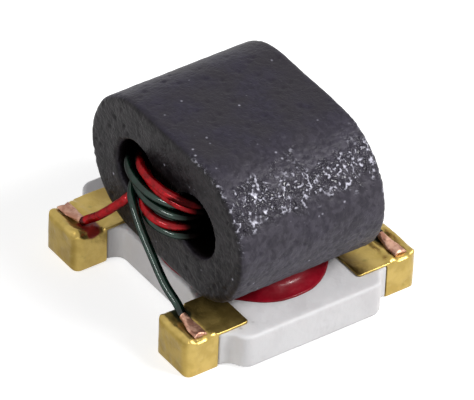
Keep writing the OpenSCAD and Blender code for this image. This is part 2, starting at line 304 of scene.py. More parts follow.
def add_bump(tree, shader, heights):
    """Bump from [(mask, depth in millimetres)], one after the other."""
    normal = None
    for mask, depth in heights:
        bump = tree.nodes.new("ShaderNodeBump")
        bump.inputs["Distance"].default_value = depth * MM
        tree.links.new(mask, bump.inputs["Height"])
        if normal:
            tree.links.new(normal, bump.inputs["Normal"])
        normal = bump.outputs[0]
    tree.links.new(normal, shader.inputs["Normal"])


print("node tools for sums, fades, tints and bump")

# %% Materials and numbers kept on the mesh
def new_finish(name, **constants):
    """A Principled material with some of its sockets set."""
    material = bpy.data.materials.new(name)
    material.use_nodes = True
    shader = material.node_tree.nodes["Principled BSDF"]
    feed(material.node_tree, shader, **constants)
    print("material:", name)
    return material, material.node_tree, shader


def store(piece, name, values):
    """Keeps one number a vertex on the piece, for its material to read."""
    numbers = np.array(values, dtype=float)
    piece.data.attributes.new(name, "FLOAT", "POINT").data.foreach_set("value", numbers)
    print(piece.name, name, "is on", round(100 * np.mean(numbers), 1), "% of the skin")


def stored(tree, name):
    """The number kept on the piece under that name."""
    node = tree.nodes.new("ShaderNodeAttribute")
    node.attribute_name = name
    return node.outputs["Fac"]

# %% [markdown]
# ## Stage and light
#
# A product table: a pale floor, a large soft lamp high on the far right, a small one beside it for
# sharper glints, a long narrow one low in front, and a plain pale sky. Through Light Path the floor
# and the sky look white to the camera, while the light that they throw on the part stays plain.

# %% Lamps
scene = bpy.context.scene
scene.view_settings.view_transform = "Standard"
LAMP_DISTANCE = 60 * MM


def soft_lamp(name, direction, width, height, strength, roll=0):
    """A flat area lamp that looks at the part from a direction."""
    data = bpy.data.lights.new(name, "AREA")
    data.shape = "RECTANGLE"
    data.size = width * MM
    data.size_y = height * MM
    data.energy = strength
    lamp = bpy.data.objects.new(name, data)
    away = Vector(direction).normalized()
    lamp.location = AIM + away * LAMP_DISTANCE
    lamp.rotation_mode = "QUATERNION"
    lamp.rotation_quaternion = away.to_track_quat("Z", "Y") @ Quaternion((0, 0, 1), math.radians(roll))
    scene.collection.objects.link(lamp)
    print(name, "is", width, "by", height, "mm at", strength, "W")


soft_lamp("key_lamp", (0.56, 0.45, 0.70), 22, 22, 0.025)
soft_lamp("glint_lamp", (0.60, 0.47, 0.65), 5, 5, 0.008)
soft_lamp("front_lamp", (0.06, -0.88, 0.44), 26, 3.5, 0.0105, roll=-24)

# %% Sky and floor
SKY_STRENGTH = 0.22
FLOOR_SIDE = 120 * MM
FLOOR_PALE = 0.70
FLOOR_GLOW = 0.68


def white_to_camera(tree):
    """A mask that is 1 for camera, mirror and glass rays."""
    path = tree.nodes.new("ShaderNodeLightPath").outputs
    seen = calculate(tree, "MAXIMUM", path["Is Camera Ray"], path["Is Glossy Ray"])
    return calculate(tree, "MAXIMUM", seen, path["Is Transmission Ray"])


world = bpy.data.worlds.new("studio")
world.use_nodes = True
scene.world = world
sky = world.node_tree
sky_light = sky.nodes["Background"]
sky_light.inputs["Color"].default_value = (1, 1, 1, 1)
attach(sky, between(sky, white_to_camera(sky), SKY_STRENGTH, 1), sky_light.inputs["Strength"])

half = FLOOR_SIDE / 2
floor = new_piece("floor", [(half * x, half * y, 0) for x, y in ((-1, -1), (1, -1), (1, 1), (-1, 1))],
                  [range(4)])
pale_table, table, shader = new_finish(
    "pale_table", Base_Color=(FLOOR_PALE, FLOOR_PALE, FLOOR_PALE, 1), Roughness=0.9,
    Specular_IOR_Level=0, Emission_Color=(1, 1, 1, 1))
feed(table, shader, Emission_Strength=calculate(table, "MULTIPLY", white_to_camera(table), FLOOR_GLOW))
floor.data.materials.append(pale_table)
print("sky at", SKY_STRENGTH, "and floor", round(FLOOR_SIDE / MM), "mm wide")

# %% [markdown]
# ## Shared effects
#
# Three node groups are built once and placed wherever a finish needs them: unevenness for clouds and
# smears, specks for pits and dust, ridges for crooked lines such as the painted glints on the core.
# They read the piece's own coordinates, so a size in a material is a size in real millimetres. They
# put out masks only, and each material decides what a mask changes.

# %% Tools for the groups
def new_group(name, **inputs):
    """A node group with these float inputs; returns it, its inputs and its one output, Mask."""
    group = bpy.data.node_groups.new(name, "ShaderNodeTree")
    for label, value in inputs.items():
        socket = group.interface.new_socket(label, in_out="INPUT", socket_type="NodeSocketFloat")
        socket.default_value = value
    group.interface.new_socket("Mask", in_out="OUTPUT", socket_type="NodeSocketFloat")
    given = group.nodes.new("NodeGroupInput").outputs
    print("group", name, "takes", inputs)
    return group, given, group.nodes.new("NodeGroupOutput").inputs["Mask"]


def texture_in(group, kind, size):
    """A texture on the piece's own coordinates, in units of a size in millimetres."""
    scale = group.nodes.new("ShaderNodeVectorMath")
    scale.operation = "SCALE"
    attach(group, group.nodes.new("ShaderNodeTexCoord").outputs["Object"], scale.inputs[0])
    attach(group, calculate(group, "DIVIDE", 1 / MM, size), scale.inputs["Scale"])
    texture = group.nodes.new(kind)
    texture.inputs["Scale"].default_value = 1
    attach(group, scale.outputs[0], texture.inputs["Vector"])
    return texture


def mask_of(tree, group, **values):
    """A copy of a shared effect with its own values; returns its mask."""
    node = tree.nodes.new("ShaderNodeGroup")
    node.node_tree = group
    for label, value in values.items():
        node.inputs[label].default_value = value
    return node.outputs["Mask"]

# %% Group: unevenness
unevenness, given, mask = new_group("unevenness", Size=0.5, Detail=3, Low=0.35, High=0.65)
cloud = texture_in(unevenness, "ShaderNodeTexNoise", given["Size"])
attach(unevenness, given["Detail"], cloud.inputs["Detail"])
attach(unevenness, fade(unevenness, cloud.outputs["Fac"], given["Low"], given["High"]), mask)

# %% Group: specks
specks, given, mask = new_group("specks", Spacing=0.1, Share=0.2, Width=0.3)
cells = texture_in(specks, "ShaderNodeTexVoronoi", given["Spacing"])
dot = fade(specks, cells.outputs["Distance"], 0, given["Width"], 1, 0)
chance = specks.nodes.new("ShaderNodeSeparateColor")
attach(specks, cells.outputs["Color"], chance.inputs[0])
chosen = calculate(specks, "LESS_THAN", chance.outputs[0], given["Share"])
attach(specks, calculate(specks, "MULTIPLY", dot, chosen), mask)

# %% Group: ridges
ridges, given, mask = new_group("ridges", Size=0.1, Detail=2, Width=0.03)
swirl = texture_in(ridges, "ShaderNodeTexNoise", given["Size"])
attach(ridges, given["Detail"], swirl.inputs["Detail"])
off_middle = calculate(ridges, "SUBTRACT", swirl.outputs["Fac"], 0.5)
from_middle = calculate(ridges, "ABSOLUTE", off_middle, 0)
attach(ridges, fade(ridges, from_middle, 0, given["Width"], 1, 0), mask)

# %% [markdown]
# ## The ferrite core
#
# The core is pressed from black powder, fired until it is as hard as stone and then tumbled, which
# rounds its rims and leaves the skin dull, pitted and lumpy. Bump alone would leave its outline too
# clean, so the skin is remeshed finely and the lumps and larger pits are real dents.

# %% Core: the clean form
core_low, core_high = box_mm("core")
core_mid = (core_low + core_high) / 2
CORE_X, CORE_Y, CORE_Z = core_mid
CORE_END_R = (core_high[2] - core_low[2]) / 2
CORE_HALF_MID = (core_high[0] - core_low[0]) / 2 - CORE_END_R
CORE_LEN = core_high[1] - core_low[1]
RIM_R = 0.09
HOLE_R = 0.47
HOLE_PITCH = 1.40
MOUTH_R = 0.06
CORE_CELL = 0.026
HALF_TURN_STEPS, BORE_STEPS, RIM_STEPS = 96, 128, 8


def rim_profile(radius, length, rim, outwards):
    """[(radius, place along the axis)] with rounded ends, flared for outwards 1, drawn in for -1."""
    end = [(rim * (1 - math.sin(a)), length / 2 - rim * (1 - math.cos(a)))
           for a in np.linspace(0, math.pi / 2, RIM_STEPS + 1)]
    profile = [(radius + outwards * offset, along) for offset, along in end]
    return profile + [(r, -along) for r, along in reversed(profile)]


def along_y(name, profile, outline):
    """A solid along Y from a profile; outline(radius) gives its (x, z) points at that radius."""
    return stacked_rings(name, [[(x, y, z) for x, z in outline(radius)] for radius, y in profile])


def stadium(radius):
    """Outline of the core: two half circles and the straights between them."""
    return (arc_points((CORE_HALF_MID, 0), radius, -90, 90, HALF_TURN_STEPS)
            + arc_points((-CORE_HALF_MID, 0), radius, 90, 270, HALF_TURN_STEPS))


def bore_circle(radius):
    """Outline of a winding hole."""
    return arc_points((0, 0), radius, 0, 360, BORE_STEPS)[:-1]


core = along_y("ferrite_core", rim_profile(CORE_END_R, CORE_LEN, RIM_R, -1), stadium)
widest = HOLE_R + MOUTH_R
through = [(widest, CORE_LEN)] + rim_profile(HOLE_R, CORE_LEN, MOUTH_R, 1) + [(widest, -CORE_LEN)]
for side in (-1, 1):
    hole = along_y("hole", through, bore_circle)
    hole.location.x = side * HOLE_PITCH / 2
    bpy.context.view_layer.update()
    combine(core, hole, "DIFFERENCE")
reskin(core, CORE_CELL)
move_to(core, places(core) + core_mid)

# %% [markdown]
# ## Lumps, pits and painted light as numbers on the skin
#
# A shape made with noise is a function from a place to a height. The same small functions also say
# where shade, a sheen and glints are painted, and where the skin is bruised. A Displace modifier could
# dent the skin too, but here each function can follow an edge or leave a region out. In the pairs
# below, a mask starts at the first number and is full at the second.

# %% Noise and fades
SEED_SHIFT = (17.3, 5.1, 9.7)
CHANCE_SCALE = 31.7


def cloud_at(point, size, seed=0):
    """Smooth noise from -1 to 1 with features of that size in millimetres."""
    return noise.noise(Vector(point) / size + Vector([seed * shift for shift in SEED_SHIFT]))


def eased(share):
    """A share kept between 0 and 1 and made smooth at both ends."""
    share = min(1, max(0, share))
    return share * share * (3 - 2 * share)


def ramp(value, start, full):
    """0 at start, 1 at full, smooth between."""
    return eased((value - start) / (full - start))


def hill(distance, width):
    """1 at distance 0, falling smoothly to 0 at width."""
    return eased(1 - abs(distance) / width)


def pit_at(point, spacing, share, width):
    """1 in the middle of a pit, 0 outside. That share of the cells holds a pit."""
    distances, centres = noise.voronoi(Vector(point) / spacing)
    chance = noise.cell(centres[0] * CHANCE_SCALE)
    return hill(distances[0], width) if chance < share else 0


def dent(piece, height_at):
    """Moves every vertex along its normal by height_at(point, normal)."""
    points, directions = places(piece), normals(piece)
    heights = np.array([height_at(p, n) for p, n in zip(points, directions)])
    move_to(piece, points + directions * heights[:, None])
    print(piece.name, "moves by", round(heights.min(), 3), "to", round(heights.max(), 3), "mm")

# %% Core: its tumbled skin
BROAD_LUMP, SMALL_LUMP, FINE_LUMP, ROUGH_LUMP = 0.007, 0.004, 0.002, 0.006
PIT_DEPTH, ROUGH_PIT_DEPTH = 0.020, 0.014
SKIN_SINK = 0.006
ROUGH_FROM_X = CORE_X + 0.75
ROUGH_OVER = 0.5
ROUGH_WANDER = 0.3


def ferrite_skin(p, n):
    """Height over the clean form: lumps less pits, rougher toward the right end."""
    wander = ROUGH_WANDER * cloud_at(p, 0.5, 5)
    rough = min(1, max(0, (p[0] - ROUGH_FROM_X) / ROUGH_OVER + wander))
    lumps = BROAD_LUMP * cloud_at(p, 0.45) + SMALL_LUMP * cloud_at(p, 0.16, 1)
    lumps += (FINE_LUMP + ROUGH_LUMP * rough) * cloud_at(p, 0.065, 2)
    pits = PIT_DEPTH * pit_at(p, spacing=0.16, share=0.14, width=0.42)
    pits += ROUGH_PIT_DEPTH * rough * pit_at(p, spacing=0.09, share=0.55, width=0.5)
    return lumps - pits - SKIN_SINK


clean, facing = places(core), normals(core)
dent(core, ferrite_skin)

# %% Core: where shade is painted on the web and down the bores
BORE_EDGE = (HOLE_R + MOUTH_R, HOLE_R)
CORE_SHADE_IN = (-0.02, 0.16)
WEB_FROM_ABOVE = (0.50, 0.30)
WEB_FROM_BELOW = (-0.16, 0.02)
WEB_SIDEWAYS = (HOLE_PITCH / 2 + 0.25, HOLE_PITCH / 2 - 0.1)
FLAT_END = (CORE_LEN / 2 - 0.08, CORE_LEN / 2 - 0.02)


def in_bore(p, start, full):
    """1 down a winding hole, from full inwards; both are depths behind its mouth."""
    depth = CORE_LEN / 2 - abs(p[1] - CORE_Y)
    beside = min(math.hypot(p[0] - CORE_X - side * HOLE_PITCH / 2, p[2] - CORE_Z)
                 for side in (-1, 1))
    return ramp(depth, start, full) * ramp(beside, *BORE_EDGE)


def painted_web_and_bore_shade(p):
    """1 on the web just above the turns and down the bores, where shade is painted near black."""
    above = p[2] - CORE_Z
    web = ramp(above, *WEB_FROM_ABOVE) * ramp(above, *WEB_FROM_BELOW)
    web *= ramp(abs(p[0] - CORE_X), *WEB_SIDEWAYS)
    return max(web * ramp(abs(p[1] - CORE_Y), *FLAT_END), in_bore(p, *CORE_SHADE_IN))


# Painted shade: near black on the web above the turns and down the bores.
store(core, "varnish_and_painted_shade", [painted_web_and_bore_shade(p) for p in clean])

# %% Core: where glints, a sheen and end-face shade are painted
SHOULDER_FROM_BELOW, SHOULDER_FROM_ABOVE = (0.48, 0.62), (1.02, 0.84)
BARREL_FROM_X = (CORE_X + 0.75, CORE_X + 1.05)
BARREL_FACING = (0.97, 0.75)
RIM_FROM_X = (CORE_X + 0.35, CORE_X + 0.8)
RIM_FROM_BARREL, RIM_FROM_END = (0.20, 0.45), (0.95, 0.80)
RIM_FROM_BELOW = (0.10, 0.35)
RIM_GLINT = 0.8
GLINT_WANDER, GLINT_FRAY = 0.10, 0.16
SHEEN_FROM_X = (CORE_X + 0.5, CORE_X + 1.4)
SHEEN_FACING = (0.9, 0.5)
END_SHADE_FACING = (0.5, 0.95)


def painted_glint_band(p, n):
    """1 along the shoulder and the rim beside it, where glints are painted, ragged at its edges."""
    towards_end = abs(n[1])
    height = p[2] - CORE_Z + GLINT_WANDER * cloud_at(p, 0.4, 6) + GLINT_FRAY * cloud_at(p, 0.13, 7)
    barrel = ramp(height, *SHOULDER_FROM_BELOW) * ramp(height, *SHOULDER_FROM_ABOVE)
    barrel *= ramp(p[0], *BARREL_FROM_X) * ramp(towards_end, *BARREL_FACING)
    rim = ramp(towards_end, *RIM_FROM_BARREL) * ramp(towards_end, *RIM_FROM_END) * ramp(p[0], *RIM_FROM_X)
    return max(barrel, RIM_GLINT * rim * ramp(height, *RIM_FROM_BELOW))


# Painted glints along the shoulder and the rim beside it.
store(core, "painted_glint_band", [painted_glint_band(p, n) for p, n in zip(clean, facing)])
# Painted sheen: paler grey toward the right end, where the lamp's gloss falls.
store(core, "painted_sheen", [ramp(p[0], *SHEEN_FROM_X) * ramp(abs(n[1]), *SHEEN_FACING)
                       for p, n in zip(clean, facing)])
# Painted shade: the end faces are painted darker.
store(core, "end_face", [ramp(abs(n[1]), *END_SHADE_FACING) for n in facing])

# %% [markdown]
# ## The core's finish
#
# Fired ferrite is nearly black with a violet cast. A painted sheen makes it greyer toward its right
# end, painted shade makes its end faces darkest, and painted glints are pale chips along its shoulder.
# The colours are laid over each other in that order, each by its own mask. The painted shade on the
# web, down the bores and on the end faces should swallow light, so it turns metallic: a metal in a
# near-black colour mirrors almost nothing.

# %% Core: finish
ferrite, tree, shader = new_finish("ferrite", IOR=1.5, Specular_IOR_Level=0.25)
grain = mask_of(tree, unevenness, Size=0.06, Detail=4)
patches = mask_of(tree, unevenness, Size=0.6, Detail=3)
mottle = mask_of(tree, unevenness, Size=0.12, Detail=4, Low=0.42, High=0.60)
pale_specks = mask_of(tree, specks, Spacing=0.12, Share=0.12, Width=0.22)
crooked = mask_of(tree, ridges, Size=0.20, Detail=2, Width=0.085)
broken_up = mask_of(tree, unevenness, Size=0.06, Detail=2, Low=0.48, High=0.62)
glint_band, varnish_and_painted_shade, end_face = (stored(tree, name) for name in ("painted_glint_band", "varnish_and_painted_shade", "end_face"))
# Painted glints: pale crooked chips along the shoulder band.
painted_glints = calculate(tree, "MULTIPLY", calculate(tree, "MULTIPLY", crooked, glint_band), broken_up)

violet_black = tint(tree, grain, (0.011, 0.0085, 0.018), (0.020, 0.0165, 0.031))
patchy = tint(tree, patches, violet_black, (0.017, 0.014, 0.020))
# Painted sheen: the right end and flank are painted a paler grey.
sheen_grey = tint(tree, mottle, (0.034, 0.030, 0.042), (0.070, 0.063, 0.082))
painted_sheen = tint(tree, between(tree, stored(tree, "painted_sheen"), 0, 0.6), patchy, sheen_grey)
# Painted shade: the end faces are painted near black.
end_shade_black = tint(tree, mottle, (0.004, 0.003, 0.004), (0.015, 0.0125, 0.0145))
end_shaded = tint(tree, end_face, painted_sheen, end_shade_black)
flecked = tint(tree, pale_specks, end_shaded, (0.40, 0.39, 0.46))
glinted = tint(tree, painted_glints, flecked, (0.60, 0.59, 0.69))
# Painted shade, near black, on the web above the turns and down the bores; there and on the end faces the
# metal mirrors almost nothing.
feed(tree, shader, Base_Color=tint(tree, varnish_and_painted_shade, glinted, (0.0075, 0.0045, 0.0035)),
     Metallic=calculate(tree, "MAXIMUM", between(tree, end_face, 0, 0.45), varnish_and_painted_shade),
     Roughness=between(tree, glint_band, 0.50, 0.20))

fine_pits = mask_of(tree, specks, Spacing=0.05, Share=0.25, Width=0.45)
knocks = mask_of(tree, unevenness, Size=0.06, Detail=1, Low=0.3, High=0.7)
bruises = calculate(tree, "MULTIPLY", knocks, glint_band)
add_bump(tree, shader, [(grain, 0.004), (fine_pits, -0.005), (bruises, 0.024)])
finish_piece(core, ferrite, "core")

# %% [markdown]
# ## The moulded header
#
# The header is moulded from a white, slightly cloudy plastic. Light goes a little way into it, so its
# edges look soft and it takes a pink tint beside the red adhesive. The plate is one outline with the
# S-shaped shoulders, pushed up. A few rounds of smoothing after the remesh give the moulded edges,
# which a bevel would make too regular.

# %% Header: form
header_low, header_high = box_mm("base")
cap_low, cap_high = box_mm("terminal_rear_right")
HEADER_WID = 2.40
SHOULDER_LEN = 0.41
LUG_FILLET = 0.17
HEADER_CELL = 0.024
HEADER_ROUNDS = 7
SINK_MARK, RIPPLE = 0.0035, 0.0015
CAP_DEPTH = 0.53
CAP_FIT = 0.005
SHEET_T = 0.05
CAP_MID_X = (cap_low[0] + cap_high[0]) / 2
CAP_INNER_Y = cap_high[1] - CAP_DEPTH
CAP_MID_Y = cap_high[1] - CAP_DEPTH / 2


def header_outline():
    """The plate's outline: shoulders of two equal arcs, and the lugs' inside fillets."""
    outer = cap_high[0] - CAP_FIT
    inner = cap_low[0] + CAP_FIT
    in_x, in_y = header_high[0] - outer, SHOULDER_LEN
    radius = (in_x ** 2 + in_y ** 2) / (4 * in_x)
    sweep = math.degrees(math.asin(in_y / 2 / radius))
    quarter = arc_points((header_high[0] - radius, CAP_INNER_Y - in_y), radius, 0, sweep)
    quarter += arc_points((outer + radius, CAP_INNER_Y), radius, 180 + sweep, 180)[1:]
    quarter += [(inner, CAP_INNER_Y)]
    quarter += arc_points((inner - LUG_FILLET, HEADER_WID / 2 + LUG_FILLET), LUG_FILLET, 0, -90)
    half_way = quarter + [(-x, y) for x, y in reversed(quarter)]
    return half_way + [(-x, -y) for x, y in half_way]


def moulded_skin(p, n):
    """Height of the sink marks and ripples that the mould leaves."""
    return SINK_MARK * cloud_at(p, 0.9, 3) + RIPPLE * cloud_at(p, 0.25, 4)


header = push_out("moulded_header", header_outline(), "z", header_low[2], header_high[2])
reskin(header, HEADER_CELL)
soften(header, HEADER_ROUNDS)
dent(header, moulded_skin)

# %% Header: the lugs inside the caps
LUG_ROOT = 0.1
lug_play = 2 * CAP_FIT
lug_low = (cap_low[0] + SHEET_T + lug_play, CAP_INNER_Y - LUG_ROOT, SHEET_T + lug_play)
lug_high = (cap_high[0] - SHEET_T - lug_play, header_high[1], header_high[2] - lug_play)
for corner in CORNERS:
    combine(header, corner_box("lug", corner, lug_low, lug_high), "UNION")
print("lugs reach from", np.round(lug_low, 3), "to", np.round(lug_high, 3), "mm")

# %% Header: finish
plastic, tree, shader = new_finish(
    "cloudy_white_plastic", Subsurface_Weight=0.35, Subsurface_Radius=(1, 0.9, 0.9),
    Subsurface_Scale=0.18 * MM, IOR=1.5, Specular_IOR_Level=0.25)
cloudy = mask_of(tree, unevenness, Size=0.7, Detail=4)
scuffs = mask_of(tree, unevenness, Size=0.09, Detail=5)
dust = mask_of(tree, specks, Spacing=0.35, Share=0.10, Width=0.13)
milky = tint(tree, cloudy, (0.665, 0.65, 0.66), (0.725, 0.715, 0.725))
feed(tree, shader, Base_Color=tint(tree, dust, milky, (0.42, 0.40, 0.40)),
     Roughness=between(tree, scuffs, 0.38, 0.55))
add_bump(tree, shader, [(cloudy, 0.012), (scuffs, 0.0015)])
finish_piece(header, plastic, "base")

# %% [markdown]
# ## The gold-plated terminals
#
# Each terminal is a cap drawn from thin sheet and pressed on a lug, with a tongue that lies on the
# header. The draw rounds its upright corners well, its top edges less and its foot least. The
# outer form is three rounded profiles intersected, one for each direction, as the real cap looks
# from its three sides; a single bevel couldn't give each edge its own radius.

# %% Terminals: form
CAP_CORNER_R, CAP_FOOT_R, CAP_TOP_R, CAP_SIDE_R = 0.16, 0.05, 0.10, 0.075
CAP_CELL = 0.0125
CAP_ROUNDS = 6
SPARE = 1
header_top = header_high[2]
terminal_top = cap_high[2]


def terminal_form(name):
    """A terminal at the rear right: drawn cap, hollow for the lug, and tongue."""
    (x0, y0), (x1, y1) = (cap_low[0], CAP_INNER_Y), (cap_high[0], cap_high[1])
    upright = rounded_outline((x0, y0), (x1, y1), (0, 0, CAP_CORNER_R, CAP_CORNER_R))
    from_end = rounded_outline((0, x0), (terminal_top, x1), (CAP_FOOT_R, CAP_SIDE_R, CAP_SIDE_R, CAP_FOOT_R))
    from_side = rounded_outline((y0, 0), (y1, terminal_top), (0, CAP_FOOT_R, CAP_TOP_R, 0))
    pocket = rounded_outline((x0 + SHEET_T, y0 - SPARE), (x1 - SHEET_T, y1 - SHEET_T))
    tongue = rounded_outline((x0, cap_low[1]), (x1, y0 + SHEET_T), (SHEET_T, SHEET_T, 0, 0))
    cap = push_out(name, upright, "z", 0, terminal_top)
    combine(cap, push_out("profile", from_end, "y", y0 - SPARE, y1 + SPARE), "INTERSECT")
    combine(cap, push_out("profile", from_side, "x", x0 - SPARE, x1 + SPARE), "INTERSECT")
    combine(cap, push_out("pocket", pocket, "z", SHEET_T, header_top), "DIFFERENCE")
    combine(cap, push_out("tongue", tongue, "z", header_top, terminal_top), "UNION")
    reskin(cap, CAP_CELL)
    soften(cap, CAP_ROUNDS)
    return cap


print("a cap is", round(cap_high[0] - cap_low[0], 3), "by", CAP_DEPTH, "by", round(terminal_top, 3), "mm")

# %% [markdown]
# ## What the weld leaves
#
# The welding tip has pressed each wire end into the cap's top, which leaves a groove with a ragged
# raised lip, a bead along the rim and a buckled tongue. The heat has stained the plate round the
# groove, and the enamel has melted off the wire and run over the cap's inner edge. Noise alone would
# look the same everywhere, so these marks are placed on purpose, and noise only frays them.

# %% Terminals: groove, lip and waves
WELD_START, WELD_TIP, WELD_SINK = -0.15, 0.34, 0.02
GROOVE_HALF = 0.12
LIP_WIDTH, LIP_HEIGHT, LIP_RAGGED = 0.10, 0.020, 0.9
BEAD_IN, BEAD_HALF, BEAD_HEIGHT, BEAD_EVEN = 0.09, 0.08, 0.016, 0.7
ON_CAP = (CAP_INNER_Y - 0.05, CAP_INNER_Y + 0.10)
BUCKLE, BUCKLE_SINK = 0.016, 0.010
BROAD_WAVE, SMALL_WAVE = 0.006, 0.002
UNDERSIDE = -0.3


def from_weld(p):
    """Distance from the line along which the wire is welded on, seen from above."""
    along, across = p[0] - CAP_MID_X, p[1] - CAP_MID_Y
    past_end = max(0, WELD_START - along, along - WELD_TIP)
    return math.hypot(past_end, across)


def weld_marks(seed):
    """A function for the groove, its lip and the sheet's waves."""
    def height_at(p, n):
        """Height over the clean form of a terminal at the rear right."""
        if n[2] < UNDERSIDE:
            return 0
        away = from_weld(p)
        facing_up = max(0, n[2]) if p[2] > header_top else 0
        groove = -WELD_SINK * max(0, 1 - (away / GROOVE_HALF) ** 2)
        lip = LIP_HEIGHT * hill(away - GROOVE_HALF - LIP_WIDTH / 2, LIP_WIDTH)
        ragged = LIP_RAGGED + LIP_RAGGED * cloud_at(p, 0.12, seed)
        waves = BROAD_WAVE * cloud_at(p, 0.35, seed + 1) + SMALL_WAVE * cloud_at(p, 0.11, seed + 2)
        from_rim = min(cap_high[0] - p[0], cap_high[1] - p[1])
        bead = BEAD_HEIGHT * hill(from_rim - BEAD_IN, BEAD_HALF) * (BEAD_EVEN + cloud_at(p, 0.20, seed + 4))
        buckled = BUCKLE * cloud_at(p, 0.30, seed + 3) - BUCKLE_SINK
        return facing_up * (groove + lip * ragged + buckled + bead * ramp(p[1], *ON_CAP)) + waves
    return height_at


print("each wire is welded on over", round(WELD_TIP - WELD_START, 2), "mm")

# %% Terminals: end faces, darker tongue ends, heat and melted enamel
DROP_LEN, DROP_AWAY, DROP_FALL = 0.30, 0.05, 1.3
DROP_EDGE, DROP_FRAY = (0.15, 0.09), 0.05
HEATED = (0.30, 0.10)
TONGUE_END_Y = (CAP_INNER_Y - 0.1, cap_low[1] + 0.05)
UPWARD = (0, 0.7)
SIDEWAYS = (0.6, 0.95)
REAR_TONGUE_DARK, FRONT_TONGUE_DARK = 1, 0.6


def melted(p):
    """1 in the enamel that has melted off the wire's end."""
    along, across = p[0] - CAP_MID_X - WELD_START, p[1] - CAP_MID_Y
    off_drop = max(0, along, -DROP_LEN - along)
    reach = math.hypot(off_drop, across + DROP_AWAY, DROP_FALL * (terminal_top - p[2]))
    return ramp(reach + DROP_FRAY * cloud_at(p, 0.12, 8), *DROP_EDGE)


def keep_marks(terminal, side, tongue_dark):
    """Stores a terminal's marks while it stands at the rear right; side is -1 left, 1 right."""
    points, facing = places(terminal), normals(terminal)
    upward = [ramp(n[2], *UPWARD) for n in facing]
    # Painted shade: the end faces get a deeper gold than the tops.
    store(terminal, "end_face", [ramp(abs(n[1]), *SIDEWAYS) for n in facing])
    # Darker brown toward the tongue's end, which runs under the core.
    store(terminal, "tongue_end", [tongue_dark * ramp(p[1], *TONGUE_END_Y) * up for p, up in zip(points, upward)])
    store(terminal, "heat", [ramp(from_weld(p), *HEATED) * up for p, up in zip(points, upward)])
    store(terminal, "melted", [melted(p) for p in points])
    store(terminal, "red_side", [side < 0] * len(points))

# %% [markdown]
# ## The plate's finish
#
# Thin gold over nickel is smeared and a little cloudy, so both its colour and its roughness wander.
# Its end faces get a deeper gold than its tops, as painted shade. Tarnish, a darker brown toward the
# tongues' ends under the core, and heat rings are laid over it in turn, and the drop of enamel, red
# on the left caps and green on the right ones, is no metal.

# %% Terminals: finish
gold, tree, shader = new_finish("gold_plate", Specular_IOR_Level=0.3)
smear = mask_of(tree, unevenness, Size=0.22, Detail=4)
fine = mask_of(tree, unevenness, Size=0.035, Detail=3)
tarnish = mask_of(tree, unevenness, Size=0.16, Detail=5, Low=0.60, High=0.80)
blotchy = mask_of(tree, unevenness, Size=0.3, Detail=3, Low=0.15, High=0.45)
broken_ring = mask_of(tree, unevenness, Size=0.13, Detail=3, Low=0.42, High=0.60)
dark_tongue_end = calculate(tree, "MULTIPLY", stored(tree, "tongue_end"), blotchy)
heated = calculate(tree, "MULTIPLY", stored(tree, "heat"), broken_ring)
drop = stored(tree, "melted")

# Painted shade: the end faces take the deeper gold, the tops and sides the lit one.
lit_gold = tint(tree, smear, (0.43, 0.305, 0.084), (0.54, 0.393, 0.122))
deep = tint(tree, smear, (0.28, 0.190, 0.042), (0.37, 0.262, 0.068))
plate = tint(tree, stored(tree, "end_face"), lit_gold, deep)
olive = tint(tree, tarnish, plate, (0.33, 0.26, 0.07))
# Darker brown toward the tongues' ends under the core.
darkened_tongue = tint(tree, dark_tongue_end, olive, (0.15, 0.095, 0.025))
hot = tint(tree, heated, darkened_tongue, (0.20, 0.085, 0.025))
residue = tint(tree, stored(tree, "red_side"), (0.040, 0.045, 0.020), (0.27, 0.022, 0.016))
feed(tree, shader, Base_Color=tint(tree, drop, hot, residue), Metallic=between(tree, drop, 0.85, 0.1),
     Roughness=between(tree, smear, 0.28, 0.42))
add_bump(tree, shader, [(smear, 0.006), (fine, 0.0003)])

# %% Terminals: all four
SIDE_NAMES = {-1: "left", 1: "right"}
ROWS = [(-1, "front", FRONT_TONGUE_DARK), (1, "rear", REAR_TONGUE_DARK)]
for row, (sy, row_name, tongue_dark) in enumerate(ROWS):
    for sx, side_name in SIDE_NAMES.items():
        terminal = terminal_form("gold_" + row_name + "_" + side_name)
        keep_marks(terminal, sx, tongue_dark)
        dent(terminal, weld_marks(10 * row + sx))
        move_to(terminal, places(terminal) * (sx, sy, 1))
        if sx * sy < 0:
            terminal.data.flip_normals()
        finish_piece(terminal, gold, "terminal_" + row_name + "_" + side_name)

# %% [markdown]
# ## The red adhesive
#
# A drop of red epoxy holds the core on the header. It was squeezed flat when the core was set down,
# then crept up the core's rounded flank, so its free edge is thin and its surface is hollow. That is
# a stack of uneven ovals, cut to the core above it and to the tongues at its corners.

# %% Adhesive: form
pad_high = box_mm("adhesive")[1]
PAD_RX = pad_high[0] - CORE_X
PAD_RY = pad_high[1]
CLIMB = pad_high[2] - header_top
PAD_RINGS, PAD_STEPS = 28, 220
PAD_TOP_SHARE, PAD_HOLLOW = 0.82, 3.2
SLOW_WAVE, SLOW_PACE, SLOW_SEED = 0.012, 2.2, 3.1
QUICK_WAVE, QUICK_PACE = 0.004, 7


def pad_share(t, x, y):
    """The oval's share of its full size at the share t of its height, toward (x, y)."""
    hollow = PAD_TOP_SHARE + (1 - PAD_TOP_SHARE) * (1 - t) ** PAD_HOLLOW
    slow = SLOW_WAVE * noise.noise(Vector((x * SLOW_PACE, y * SLOW_PACE, SLOW_SEED)))
    return hollow + slow - QUICK_WAVE * (1 + noise.noise(Vector((x * QUICK_PACE, y * QUICK_PACE, t))))


def pad_ring(t):
    """The adhesive's outline at the share t of its height."""
    ring = []
    for a in 2 * math.pi * np.arange(PAD_STEPS) / PAD_STEPS:
        x, y = math.cos(a), math.sin(a)
        share = pad_share(t, x, y)
        ring.append((CORE_X + PAD_RX * share * x, PAD_RY * share * y, header_top + CLIMB * t))
    return ring


